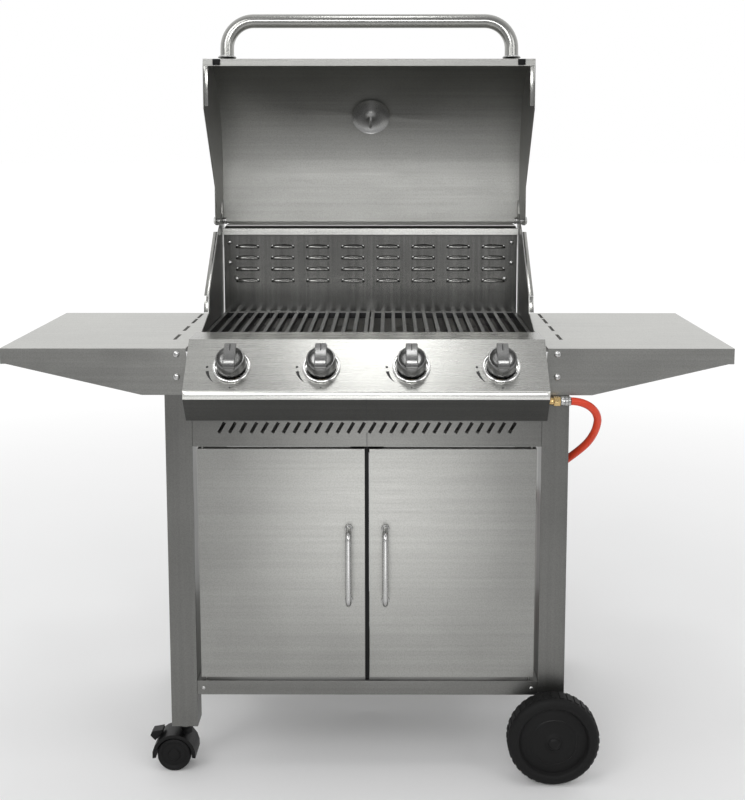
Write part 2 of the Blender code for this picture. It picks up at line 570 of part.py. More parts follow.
def build_wheels():
    rod("wheel_axle", (LEG_MIDDLE, -0.057, AXLE_Z), (LEG_MIDDLE, 0.487, AXLE_Z), AXLE_R, STEEL_DARK)
    half = [
        (AXLE_R + 0.0005, WHEEL_HALF), (0.015, WHEEL_HALF), (0.018, 0.009), (0.055, 0.009),
        (0.060, 0.0195), (0.076, 0.0195), (WHEEL_R, 0.013),
    ]
    profile = half + [(r, -h) for r, h in reversed(half)]
    for row, y in WHEEL_MIDDLES.items():
        turned(f"{row}_wheel", profile, BLACK_PLASTIC, steps=28, closed=True,
               location=(LEG_MIDDLE, y, AXLE_Z), rotation=(-pi / 2, 0, 0))


def build_castors():
    for row, y in CASTOR_MIDDLES.items():
        name = f"{row}_castor"
        swivel = empty(f"{name}_swivel", (-LEG_MIDDLE, y, 0), parent=FRAME)
        axle = empty(f"{name}_axle", (-CASTOR_TRAIL, 0, CASTOR_R), parent=swivel)
        hood_outer = arc((0, 0), CASTOR_HOOD_R, CASTOR_HOOD_R, radians(-8), radians(188), 11)
        hood_inner = arc((0, 0), 0.0335, 0.0335, radians(188), radians(-8), 11)
        fork = plate(f"{name}_fork", hood_outer + hood_inner, 0.052, BLACK_PLASTIC, parent=axle)
        web_arc = arc((0, 0), 0.037, 0.037, 0, pi, 10)
        foot = arc((0, 0), 0.014, 0.014, 1.1 * pi, 1.9 * pi, 6)
        join(fork, plate(f"{name}_web", web_arc + foot, 0.008, parent=axle))
        stem = [
            (0, 0.145), (0.005, 0.145), (0.0055, 0.143), (0.0055, 0.0855), (0.016, 0.0855),
            (0.016, 0.0800), (0.011, 0.0760), (0.011, 0.0655), (0, 0.0655),
        ]
        join(fork, turned(f"{name}_stem", stem, steps=16, parent=swivel))
        cut(fork, rod(f"{name}_hub_hole", (0, -0.02, 0), (0, 0.02, 0), 0.0085, parent=axle))
        side = [
            (0, 0.0245), (0.010, 0.0245), (0.012, 0.0225), (0.024, 0.0225), (0.028, 0.0245),
            (CASTOR_R, 0.0225), (CASTOR_R, 0.0060), (0.029, 0.0048), (0.008, 0.0048),
        ]
        profile = side + [(r, -h) for r, h in reversed(side)]
        turned(f"{name}_wheel", profile, BLACK_RUBBER, steps=16, rotation=(-pi / 2, 0, 0), parent=axle)
        corners = ((0.0425, 150), (0.0425, 122), (0.048, 118), (0.0572, 137), (0.0555, 146))
        lever = [(r * cos(radians(a)), r * sin(radians(a))) for r, a in corners]
        pivot = (0.0455 * cos(radians(122)), 0.0455 * sin(radians(122)))
        outline = [(x - pivot[0], z - pivot[1]) for x, z in lever]
        hinge = empty(f"{name}_brake_axis", (pivot[0], 0, pivot[1]), parent=axle)
        plate(f"{name}_brake", outline, 0.022, BLACK_PLASTIC, parent=hinge)


def build_gas_hose():
    tube("gas_hose", smooth(HOSE_ROUTE), HOSE_R, HOSE_RUBBER)
    low, high = FLOOR_TOP + GAP, FLOOR_TOP + GAP + 4 * HOSE_R
    inner, outer, edge = COIL_R - HOSE_R, COIL_R + HOSE_R, 0.004
    profile = [
        (inner, high - edge), (inner + edge, high), (outer - edge, high), (outer, high - edge),
        (outer, low + edge), (outer - edge, low), (inner + edge, low), (inner, low + edge),
    ]
    turned("gas_hose_coil", profile, HOSE_RUBBER, steps=28, closed=True, location=(COIL_X, COIL_Y, 0))
    height, outlet = 0.042, FLOOR_TOP + GAP + 3 * HOSE_R
    body = [
        (0, height), (0.018, height), (0.026, height - 0.006), (0.029, 0.028), (0.031, 0.027),
        (0.031, 0.021), (0.029, 0.020), (0.026, 0.004), (0.022, 0), (0, 0),
    ]
    middle, y = COIL_X - 0.105, COIL_Y - COIL_R
    regulator = turned("regulator", body, ZINC, steps=18, location=(middle, y, FLOOR_TOP + GAP))
    tail = rod("regulator_tail", (middle + 0.02, y, outlet), (COIL_X - 0.0495, y, outlet), 0.0068, sides=12)
    inlet = rod("regulator_nut", (middle - 0.056, y, outlet), (middle - 0.02, y, outlet), 0.011, sides=8)
    join(regulator, tail, inlet)


for old in list(bpy.data.objects):
    bpy.data.objects.remove(old, do_unlink=True)

PARTS = collection("gas_barbecue_grill")
CUTTERS = collection("grill_cutters")
CUTTERS.hide_render = True
FRAME = empty("grill_frame", (0, TABLE_FRONT_Y, 0))

STEEL = material("brushed_steel", (0.62, 0.62, 0.61), 0.32, 1.0)
STEEL_BRIGHT = material("bright_steel", (0.75, 0.75, 0.74), 0.22, 1.0)
STEEL_DARK = material("aluminised_steel", (0.36, 0.36, 0.37), 0.45, 1.0)
ENAMEL = material("grey_enamel_firebox", (0.30, 0.30, 0.31), 0.35, 0.6)
ENAMEL_GREY = material("back_wall_steel", (0.50, 0.50, 0.50), 0.35, 0.9)
CAST_IRON = material("enamelled_cast_iron", (0.035, 0.035, 0.037), 0.5, 0.2)
BRASS = material("brass", (0.72, 0.52, 0.24), 0.3, 1.0)
ZINC = material("zinc_casting", (0.45, 0.46, 0.48), 0.45, 0.9)
BLACK_PLASTIC = material("black_plastic", (0.02, 0.02, 0.021), 0.45)
BLACK_RUBBER = material("black_rubber", (0.015, 0.015, 0.015), 0.7)
HOSE_RUBBER = material("orange_red_hose", (0.72, 0.10, 0.04), 0.5)

build_legs()
build_cabinet()
build_doors()
build_side_tables()
build_control_panel()
build_firebox()
build_grease_tray()
build_lid()
build_wheels()
build_castors()
build_gas_hose()
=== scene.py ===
"""Looks of the gas barbecue grill: finishes, softened sheet edges, fasteners, louvres, knobs and hose."""

import json
from math import atan2, cos, pi, radians, sin

import bmesh
import bpy
from mathutils import Matrix, Vector

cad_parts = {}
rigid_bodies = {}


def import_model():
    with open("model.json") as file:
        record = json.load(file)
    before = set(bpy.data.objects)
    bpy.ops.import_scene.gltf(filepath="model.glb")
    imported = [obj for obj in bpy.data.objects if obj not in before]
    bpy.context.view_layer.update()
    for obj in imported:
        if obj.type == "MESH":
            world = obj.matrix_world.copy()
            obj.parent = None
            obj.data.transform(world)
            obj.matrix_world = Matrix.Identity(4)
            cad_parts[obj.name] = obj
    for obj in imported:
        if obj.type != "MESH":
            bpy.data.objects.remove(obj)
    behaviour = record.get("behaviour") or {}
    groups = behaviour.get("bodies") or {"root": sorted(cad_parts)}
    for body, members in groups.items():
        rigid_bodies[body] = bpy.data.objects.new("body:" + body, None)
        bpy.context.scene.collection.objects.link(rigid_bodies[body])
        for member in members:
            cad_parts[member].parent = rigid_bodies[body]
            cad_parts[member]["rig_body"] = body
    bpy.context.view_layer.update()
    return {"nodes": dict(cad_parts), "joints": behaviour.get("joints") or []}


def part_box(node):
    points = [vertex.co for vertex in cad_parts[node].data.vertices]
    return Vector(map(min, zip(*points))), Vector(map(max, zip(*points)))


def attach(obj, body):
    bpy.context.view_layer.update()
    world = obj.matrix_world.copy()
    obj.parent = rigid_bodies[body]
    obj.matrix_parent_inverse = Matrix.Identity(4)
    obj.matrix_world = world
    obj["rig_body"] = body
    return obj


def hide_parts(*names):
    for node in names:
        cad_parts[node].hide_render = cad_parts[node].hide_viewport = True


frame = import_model()
NODES = frame["nodes"]

TABLE_FRONT_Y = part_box("left_side_table")[0].y
FLOOR_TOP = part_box("cabinet_floor")[1].z
SHEET = 0.0012
GAP = 0.0003
SHEET_EDGE, CASTING_EDGE, TRIM_EDGE = 0.00045, 0.0015, 0.0003
FORWARD = Vector((0, -1, 0))


def at(x, y, z):
    """A place in the world, with y measured back from the side tables' front plane."""
    return Vector((x, TABLE_FRONT_Y + y, z))


def joint(name):
    return next(j for j in frame["joints"] if j["name"] == name)


PANEL_FOLD = at(0, -0.064, 0.721)
LID_HINGE = Vector(joint("lid_hinge")["pos_m"])
LID_OPEN = radians(95.7)
LID_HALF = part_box("lid")[1].x


def on_lid(x, y, z):
    """A place in the world from one measured on the closed lid, from its hinge."""
    return LID_HINGE + Matrix.Rotation(-LID_OPEN, 3, "X") @ Vector((x, y, z))


# Materials


class Nodes:
    """A small builder for one material's node tree."""

    def __init__(self, name):
        self.material = bpy.data.materials.new(name)
        self.material.use_nodes = True
        self.tree = self.material.node_tree
        self.shader = self.tree.nodes["Principled BSDF"]

    def set(self, **values):
        for key, value in values.items():
            self.shader.inputs[key.replace("_", " ")].default_value = value
        return self

    def add(self, kind, **settings):
        node = self.tree.nodes.new(kind)
        for key, value in settings.items():
            if hasattr(node, key):
                setattr(node, key, value)
            else:
                node.inputs[key.replace("_", " ")].default_value = value
        return node

    def link(self, start, end):
        self.tree.links.new(start, end)

    def noise(self, scale, stretch=(1, 1, 1), detail=3.0, roughness=0.55):
        place = self.add("ShaderNodeTexCoord")
        mapping = self.add("ShaderNodeMapping")
        mapping.inputs["Scale"].default_value = stretch
        noise = self.add("ShaderNodeTexNoise", Scale=scale, Detail=detail, Roughness=roughness)
        self.link(place.outputs["Object"], mapping.inputs["Vector"])
        self.link(mapping.outputs["Vector"], noise.inputs["Vector"])
        return noise.outputs["Fac"]

    def ramp(self, value, low, high, start=0.3, end=0.7):
        ramp = self.add("ShaderNodeValToRGB")
        ramp.color_ramp.elements[0].position, ramp.color_ramp.elements[0].color = start, low
        ramp.color_ramp.elements[1].position, ramp.color_ramp.elements[1].color = end, high
        self.link(value, ramp.inputs["Fac"])
        return ramp.outputs["Color"]

    def between(self, value, low, high, start=0.3, end=0.7):
        scale = self.add("ShaderNodeMapRange")
        for key, number in (("From Min", start), ("From Max", end), ("To Min", low), ("To Max", high)):
            scale.inputs[key].default_value = number
        self.link(value, scale.inputs["Value"])
        return scale.outputs["Result"]

    def mix(self, factor, first, second, blend="MIX"):
        mix = self.add("ShaderNodeMix", data_type="RGBA", blend_type=blend)
        if isinstance(factor, float):
            mix.inputs["Factor"].default_value = factor
        else:
            self.link(factor, mix.inputs["Factor"])
        self.link(first, mix.inputs["A"])
        self.link(second, mix.inputs["B"])
        return mix.outputs["Result"]

    def bump(self, height, strength, distance):
        bump = self.add("ShaderNodeBump", Strength=strength, Distance=distance)
        self.link(height, bump.inputs["Height"])
        self.link(bump.outputs["Normal"], self.shader.inputs["Normal"])


def grey(value, tint=(1.0, 1.0, 0.985)):
    return tuple(value * t for t in tint) + (1.0,)


def brushed_metal(name, value, roughness, grain, spread=0.09, tint=(1.0, 1.0, 0.985)):
    """Sheet steel brushed along one axis, with fine streaks, broad handling marks and dull smudges."""
    stretch = {"X": (0.012, 1, 1), "Y": (1, 0.012, 1), "Z": (1, 1, 0.012)}[grain]
    made = Nodes(name).set(Metallic=1.0)
    fine = made.noise(900.0, stretch, detail=4.0, roughness=0.7)
    streak = made.noise(140.0, stretch, detail=3.0)
    cloud = made.noise(5.0, detail=4.0)
    fleck = made.noise(420.0, detail=2.0)
    base = made.ramp(streak, grey(value * (1 - spread), tint), grey(value * (1 + spread), tint))
    marks = made.ramp(cloud, grey(0.86), grey(1.0))
    dots = made.ramp(fleck, grey(0.88), grey(1.0), 0.35, 0.6)
    colour = made.mix(1.0, made.mix(1.0, base, marks, "MULTIPLY"), dots, "MULTIPLY")
    made.link(colour, made.shader.inputs["Base Color"])
    rough = made.mix(
        0.5, made.ramp(fine, grey(roughness * 0.75), grey(roughness * 1.25)),
        made.ramp(cloud, grey(roughness * 0.85), grey(roughness * 1.2)),
    )
    made.link(rough, made.shader.inputs["Roughness"])
    made.bump(fine, 0.05, 0.0003)
    return made.material


def polished_metal(name, value, roughness=0.16, tint=(1.0, 1.0, 0.985)):
    made = Nodes(name).set(Metallic=1.0)
    cloud = made.noise(24.0, detail=4.0)
    fine = made.noise(1300.0, detail=2.0)
    made.link(made.ramp(cloud, grey(value * 0.92, tint), grey(value, tint)), made.shader.inputs["Base Color"])
    made.link(made.between(fine, roughness * 0.8, roughness * 1.3), made.shader.inputs["Roughness"])
    made.bump(fine, 0.04, 0.0002)
    return made.material


def moulded(name, low, high, roughness, grain=1500.0, bump=0.25, shine=0.5):
    """Moulded plastic, rubber or enamel: a fine texture with duller, dustier patches."""
    made = Nodes(name).set(Metallic=0.0, Specular_IOR_Level=shine)
    fine, cloud = made.noise(grain, detail=2.0), made.noise(9.0, detail=5.0)
    made.link(made.ramp(cloud, low, high), made.shader.inputs["Base Color"])
    made.link(made.between(cloud, roughness * 0.85, roughness * 1.15), made.shader.inputs["Roughness"])
    made.bump(fine, bump, 0.0003)
    return made.material


DOOR_STEEL = brushed_metal("door_steel", 0.36, 0.36, "X", 0.05)
LEG_STEEL = brushed_metal("leg_steel", 0.21, 0.38, "Z", 0.05)
TABLE_STEEL = brushed_metal("table_steel", 0.60, 0.38, "X", 0.05)
# Painted shade: a darker copy of the tables' steel for their faces that do not face up.
SKIRT_PAINTED_SHADE_STEEL = brushed_metal("table_skirt_painted_shade_steel", 0.34, 0.40, "X", 0.06)
PANEL_STEEL = brushed_metal("panel_steel", 0.44, 0.27, "X", 0.04)
# Painted highlight: a near-white copy of the steel for the control panel's rounded fold and the back wall's
# top hem.
PAINTED_HIGHLIGHT_STEEL = brushed_metal("painted_highlight_steel", 0.95, 0.30, "X", 0.04)
# Painted shade: a very dark copy of the steel for faces in shade, the control panel's down-facing return and
# the back wall's top flange.
PAINTED_SHADE_STEEL = brushed_metal("painted_shade_steel", 0.095, 0.42, "X", 0.06)
FASCIA_STEEL = brushed_metal("fascia_steel", 0.22, 0.36, "X", 0.06)
SIDE_STEEL = brushed_metal("side_steel", 0.40, 0.42, "Z")
LID_STEEL = brushed_metal("lid_steel", 0.40, 0.47, "X", 0.05)
FIREBOX_STEEL = brushed_metal("firebox_steel", 0.32, 0.34, "Z", 0.08)
BACK_STEEL = brushed_metal("back_wall_steel", 0.24, 0.22, "Z", 0.18)
DULL_STEEL = brushed_metal("aluminised_steel", 0.30, 0.50, "Y", 0.14, (1.0, 0.98, 0.95))
TUBE_STEEL = brushed_metal("handle_steel", 0.42, 0.20, "X", 0.04)
BOLT_STEEL = polished_metal("bolt_steel", 0.55, 0.24)
KNOB_STEEL = polished_metal("knob_metal", 0.24, 0.24)
GRIP_STEEL = polished_metal("grip_metal", 0.24, 0.22)
BEZEL_STEEL = polished_metal("bezel_metal", 0.86, 0.12)
CUP_STEEL = polished_metal("thermometer_cup_metal", 0.42, 0.30)
BRASS = polished_metal("brass_fitting", 0.78, 0.24, (1.0, 0.72, 0.34))
ZINC = polished_metal("zinc_casting", 0.42, 0.42, (0.97, 0.99, 1.0))
GRATE_IRON = moulded("enamelled_iron", (0.006, 0.006, 0.0065, 1), (0.022, 0.022, 0.023, 1), 0.32, 500.0, 0.5)
BLACK_PLASTIC = moulded("black_plastic", (0.002, 0.002, 0.002, 1), (0.005, 0.005, 0.005, 1), 0.46, shine=0.25)
BLACK_RUBBER = moulded(
    "black_rubber", (0.003, 0.003, 0.003, 1), (0.007, 0.007, 0.007, 1), 0.66, 900.0, 0.4, 0.25
)
HOSE_RUBBER = moulded("hose_rubber", (0.60, 0.035, 0.010, 1), (0.78, 0.070, 0.022, 1), 0.40, 1100.0, 0.2)
WHITE_ENAMEL = moulded("dial_white", (0.62, 0.62, 0.60, 1), (0.74, 0.74, 0.72, 1), 0.35)
DARK_INK = moulded("printed_mark", (0.02, 0.02, 0.02, 1), (0.04, 0.04, 0.04, 1), 0.5)


# Making pieces

SHORTEST_FOLD = 0.3


def show(name, mesh, finish, body, smooth=35):
    """A finished piece that rides on a body."""
    obj = bpy.data.objects.new(name, mesh)
    bpy.context.scene.collection.objects.link(obj)
    mesh.materials.clear()
    mesh.materials.append(finish)
    mesh.shade_smooth()
    mesh.set_sharp_from_angle(angle=radians(smooth))
    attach(obj, body)
    return obj


def mesh_of(name, bm):
    mesh = bpy.data.meshes.new(name)
    bm.to_mesh(mesh)
    bm.free()
    return mesh


def soften(obj, width, segments=2, angle=35):
    bevel = obj.modifiers.new("Soft edges", "BEVEL")
    bevel.width, bevel.segments = width, segments
    bevel.limit_method, bevel.angle_limit = "ANGLE", radians(angle)
    weighted = obj.modifiers.new("Even shading", "WEIGHTED_NORMAL")
    weighted.keep_sharp = False


def dress(node, finish, width=0.0005, rolled=()):
    """The CAD sheet with clean faces and softened edges, standing for its node.

    Each of rolled is a fold's place, a reach about it and the offset that rounds its edges.
    """
    source = NODES[node]
    bm = bmesh.new()
    bm.from_mesh(source.data)
    bmesh.ops.remove_doubles(bm, verts=bm.verts, dist=1e-6)
    bmesh.ops.dissolve_limit(bm, angle_limit=radians(0.3), verts=bm.verts, edges=bm.edges)
    for place, reach, offset in rolled:

        def near(vert):
            return (Vector((0, vert.co.y, vert.co.z)) - place).length < reach

        bends = [
            edge for edge in bm.edges
            if edge.calc_length() > SHORTEST_FOLD and near(edge.verts[0]) and near(edge.verts[1])
        ]
        bmesh.ops.bevel(bm, geom=bends, offset=offset, segments=6, affect="EDGES", profile=0.5)
    piece = show(f"{node}_finished", mesh_of(node, bm), finish, source["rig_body"])
    soften(piece, width)
    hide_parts(node)
    return piece


def beveled_box(bm, low, high, width=0.0, turn=None):
    made = bmesh.ops.create_cube(bm, size=1)["verts"]
    bmesh.ops.scale(bm, vec=Vector(high) - Vector(low), verts=made)
    if width:
        edges = {e for v in made for e in v.link_edges}
        made = bmesh.ops.bevel(
            bm, geom=list(edges), offset=width, segments=2, affect="EDGES", profile=0.5
        )["verts"]
    if turn:
        bmesh.ops.rotate(bm, matrix=turn, verts=made)
    bmesh.ops.translate(bm, vec=(Vector(high) + Vector(low)) / 2, verts=made)


def leaning_box(bm, start, end, wide, thick, edge, shift=Vector(), share=1.0):
    """A strip that is wide along X and follows the line from start to end, or a share of it."""
    along = end - start
    lean = Matrix.Rotation(atan2(along.z, along.y), 3, "X")
    middle = (start + end) / 2 + shift
    size = Vector((wide, along.length * share, thick))
    beveled_box(bm, middle - size / 2, middle + size / 2, edge, lean)


def lathe(bm, profile, middle, direction, steps=48, twist=0.0):
    """Turns a profile of (radius, height) about a direction through the middle."""
    turn = Vector((0, 0, 1)).rotation_difference(Vector(direction)).to_matrix()
    rings = []
    for r, h in profile:
        if r < 1e-7:
            rings.append([bm.verts.new(Vector(middle) + turn @ Vector((0, 0, h)))])
            continue
        ring = []
        for i in range(steps):
            a = twist + 2 * pi * i / steps
            ring.append(bm.verts.new(Vector(middle) + turn @ Vector((r * cos(a), r * sin(a), h))))
        rings.append(ring)
    for upper, lower in zip(rings, rings[1:]):
        for i in range(steps):
            j = (i + 1) % steps
            top = upper[i % len(upper)], upper[j % len(upper)]
            foot = lower[i % len(lower)], lower[j % len(lower)]
            corners = list(dict.fromkeys([top[0], *foot, top[1]]))
            if len(corners) > 2:
                bm.faces.new(corners)


def lathed(name, profile, middle, direction, finish, body, steps=48, smooth=35):
    bm = bmesh.new()
    lathe(bm, profile, middle, direction, steps)
    bmesh.ops.recalc_face_normals(bm, faces=bm.faces)
    return show(name, mesh_of(name, bm), finish, body, smooth)


def arc(middle, radius, start, end, count):
    steps = [start + (end - start) * i / count for i in range(count + 1)]
    return [(middle[0] + radius * cos(t), middle[1] + radius * sin(t)) for t in steps]


def pipe(name, points, radius, finish, body, sides=8):
    curve = bpy.data.curves.new(name, "CURVE")
    curve.dimensions, curve.bevel_depth, curve.bevel_resolution = "3D", radius, sides
    curve.use_fill_caps = True
    spline = curve.splines.new("POLY")
    spline.points.add(len(points) - 1)
    for target, point in zip(spline.points, points):
        target.co = (*point, 1.0)
    spline.use_smooth = True
    obj = bpy.data.objects.new(name, curve)
    bpy.context.scene.collection.objects.link(obj)
    curve.materials.append(finish)
    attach(obj, body)
    return obj


def bolts(name, places, body, radius):
    """Domed screw heads, each at a (place, outward direction)."""
    flatness = 0.55
    dome = [(r, h * flatness) for r, h in arc((0, 0), radius, 1.45, 0.15, 5)]
    profile = [(0, radius * (flatness + 0.01)), *dome, (radius, 0.0)]
    bm = bmesh.new()
    for place, out in places:
        lathe(bm, profile, place, out, 20)
    bmesh.ops.recalc_face_normals(bm, faces=bm.faces)
    show(name, mesh_of(name, bm), BOLT_STEEL, body)


# Sheet-metal parts


def other_finish(node, finish, chosen):
    """Another finish on some faces of a dressed node, by a test on each face."""
    mesh = bpy.data.objects[f"{node}_finished"].data
    mesh.materials.append(finish)
    for face in mesh.polygons:
        if chosen(face):
            face.material_index = len(mesh.materials) - 1


def paint(node, finish):
    """A finish on a CAD node that is shown as it is."""
    materials = NODES[node].data.materials
    materials.clear()
    materials.append(finish)


def dress_sheets():
    panel_bend = [(PANEL_FOLD, 0.004, 0.010)]
    finishes = {
        LEG_STEEL: ("front_left_leg", "rear_left_leg", "front_right_leg", "rear_right_leg"),
        DOOR_STEEL: ("left_door", "right_door"),
        TABLE_STEEL: ("left_side_table", "right_side_table"),
        PANEL_STEEL: ("control_panel",),
        FASCIA_STEEL: ("fascia_panel", "cabinet_floor"),
        SIDE_STEEL: ("left_side_panel", "right_side_panel"),
        LID_STEEL: ("lid",),
        FIREBOX_STEEL: ("firebox",),
        BACK_STEEL: ("firebox_back_wall",),
        DULL_STEEL: ("grease_tray", *(f"heat_tent_{i}" for i in range(1, 5))),
        GRATE_IRON: ("left_grate", "right_grate"),
    }
    for finish, names in finishes.items():
        for name in names:
            width = CASTING_EDGE if finish is GRATE_IRON else SHEET_EDGE
            dress(name, finish, width, panel_bend if name == "control_panel" else ())
    # Painted shade on the control panel's down-facing return face.
    other_finish("control_panel", PAINTED_SHADE_STEEL, lambda face: face.normal.z < -0.2 and face.normal.y < -0.2)
    # Painted highlight on the control panel's forward-facing fold faces.
    other_finish("control_panel", PAINTED_HIGHLIGHT_STEEL, lambda face: face.normal.y < -0.72 and face.normal.z > -0.5)
    # Painted shade on the side tables' skirts and undersides, darker than their tops of the same steel.
    for side in ("left", "right"):
        other_finish(f"{side}_side_table", SKIRT_PAINTED_SHADE_STEEL, lambda face: face.normal.z < 0.5)
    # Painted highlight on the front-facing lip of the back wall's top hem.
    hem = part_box("firebox_back_wall")[0].y + SHEET
    other_finish(
        "firebox_back_wall", PAINTED_HIGHLIGHT_STEEL, lambda face: face.normal.y < -0.9 and face.center.y < hem
    )
    paint("gas_manifold", DULL_STEEL)
    paint("wheel_axle", DULL_STEEL)
    for i in range(1, 5):
        paint(f"burner_{i}", DULL_STEEL)
        paint(f"valve_stem_{i}", BRASS)
    paint("door_catch", BLACK_PLASTIC)
    paint("left_lid_pin", BOLT_STEEL)
    paint("right_lid_pin", BOLT_STEEL)


def flanges():
    """Folded edges on the firebox wings, the lid's end caps and the top of the back wall; the back wall's
    flange is painted very dark as shade.
    """
    half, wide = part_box("firebox")[1].x, 0.008
    wing_lines = [((0.2055, 0.826), (0.2130, 0.857)), ((0.213, 0.858), (0.345, 0.972))]
    bm = bmesh.new()
    for sign in (-1, 1):
        beside = Vector((sign * (half + wide / 2 + GAP), 0, 0))
        for start, end in wing_lines:
            leaning_box(bm, at(0, *start), at(0, *end), wide, SHEET, TRIM_EDGE, beside)
    show("wing_edge_flanges", mesh_of("flanges", bm), TUBE_STEEL, "cart")
    bm = bmesh.new()
    inner = LID_HALF - SHEET - GAP
    low, high = on_lid(0, -0.307, -0.1738), on_lid(0, -0.219, -0.1678)
    for sign in (-1, 1):
        middle = (low + high) / 2 + Vector((sign * (inner - wide / 2), 0.0008, 0))
        size = Vector((wide, SHEET, (high - low).length))
        beveled_box(bm, middle - size / 2, middle + size / 2, TRIM_EDGE)
    show("lid_cap_flanges", mesh_of("cap_flanges", bm), TUBE_STEEL, "lid")
    # Painted shade: the back wall's top flange is drawn in the very dark steel for the shade in the gap under
    # the lid's lower edge.
    bm = bmesh.new()
    front, back = at(0, 0.4149, 0.9744), at(0, 0.4350, 0.9780)
    beside_wing = 0.0045
    leaning_box(bm, front, back, 2 * (half - beside_wing), SHEET, TRIM_EDGE)
    show("back_wall_flange", mesh_of("back_flange", bm), PAINTED_SHADE_STEEL, "cart")


def fasteners():
    table_x, leg_x, rail_x = 0.3375, 0.360 + 0.0001, 0.300
    on_table = [(sign * table_x, z) for sign in (-1, 1) for z in (0.782, 0.741)]
    skirt = [(at(x, -0.0001, z), FORWARD) for x, z in on_table]
    back = [(at(x, 0.4301, z), -FORWARD) for x, z in on_table]
    bolts("table_bolts", skirt + back, "cart", radius=0.0065)
    wall = TABLE_FRONT_Y + 0.4123
    screws = [
        (Vector((sign * x, wall - GAP, z)), FORWARD)
        for sign in (-1, 1) for x, z in ((0.297, 0.902), (0.283, 0.868), (0.297, 0.945))
    ]
    bolts("back_wall_screws", screws, "cart", radius=0.0045)
    sides = [
        (at(sign * leg_x, y, z), Vector((sign, 0, 0)))
        for sign in (-1, 1) for y in (0.023, 0.4065) for z in (0.185, 0.60)
    ]
    bolts("leg_bolts", sides, "cart", radius=0.0055)
    rail = [(at(sign * rail_x, 0.0014, 0.161), FORWARD) for sign in (-1, 1)]
    bolts("rail_screws", rail, "cart", radius=0.0035)


def seams_and_caps():
    """The middle seam of the panel's return face and fascia, and the right front leg's end cap."""
    fold, foot = at(0, -0.0592, 0.7143), at(0, -0.026, 0.668)
    outward = Vector((0, -0.0004, -0.0003))
    bm = bmesh.new()
    leaning_box(bm, fold, foot, wide=0.0011, thick=0.0004, edge=0.0, shift=outward, share=0.97)
    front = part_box("fascia_panel")[0].y
    beveled_box(bm, (-0.0005, front - 0.0002, 0.6145), (0.0005, front + 0.0003, 0.6395))
    show("middle_seam", mesh_of("seam", bm), DARK_INK, "cart")
    low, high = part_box("front_right_leg")
    bm = bmesh.new()
    wall, lip = 0.0022, 0.0004
    plug = Vector((high.x - wall, high.y - wall, low.z + 0.004))
    beveled_box(bm, low + Vector((wall, wall, 0.0)), plug, 0.0008)
    rim = Vector((high.x + lip, high.y + lip, low.z + 0.0002))
    beveled_box(bm, low - Vector((lip, lip, 0.0012)), rim, 0.0005)
    show("right_leg_end_cap", mesh_of("leg_cap", bm), BLACK_PLASTIC, "cart")


def louvres():
    """Pressed hoods over the back wall's openings, each a quarter-round scoop with closed ends."""
    bm = bmesh.new()
    face = TABLE_FRONT_Y + 0.4121
    wide, tall, deep, pitch, columns = 0.049, 0.0085, 0.006, 0.074, 8
    parts, clear, drop = 8, 0.0004, 0.0035
    for z in (0.864, 0.8885, 0.9125, 0.936):
        for column in range(columns):
            x = (column - 3.5) * pitch
            rows = []
            for k in range(parts + 1):
                across = x + wide * (k / parts - 0.5)
                fade = sin(pi * (k / parts)) ** 0.45 if 0 < k < parts else 0.0
                ring = []
                for a in (0.0, 0.4, 0.8, 1.2, pi / 2):
                    out = face - clear - deep * fade * sin(a)
                    up = z - drop + tall * cos(a) * (0.35 + 0.65 * fade)
                    ring.append(bm.verts.new((across, out, up)))
                rows.append(ring)
            for left, right in zip(rows, rows[1:]):
                for k in range(4):
                    bm.faces.new((left[k], right[k], right[k + 1], left[k + 1]))
    piece = show("louvre_hoods", mesh_of("hoods", bm), BACK_STEEL, "cart", 50)
    shell = piece.modifiers.new("Sheet", "SOLIDIFY")
    shell.thickness, shell.offset = 0.0006, 0.0


# Controls. A turned profile is a list of (radius, height along its axis).

OUT = Vector((0, -sin(pi / 4), cos(pi / 4)))
UP = Vector((0, cos(pi / 4), sin(pi / 4)))
KNOB_STYLE = Matrix((Vector((1, 0, 0)), UP, OUT)).transposed()


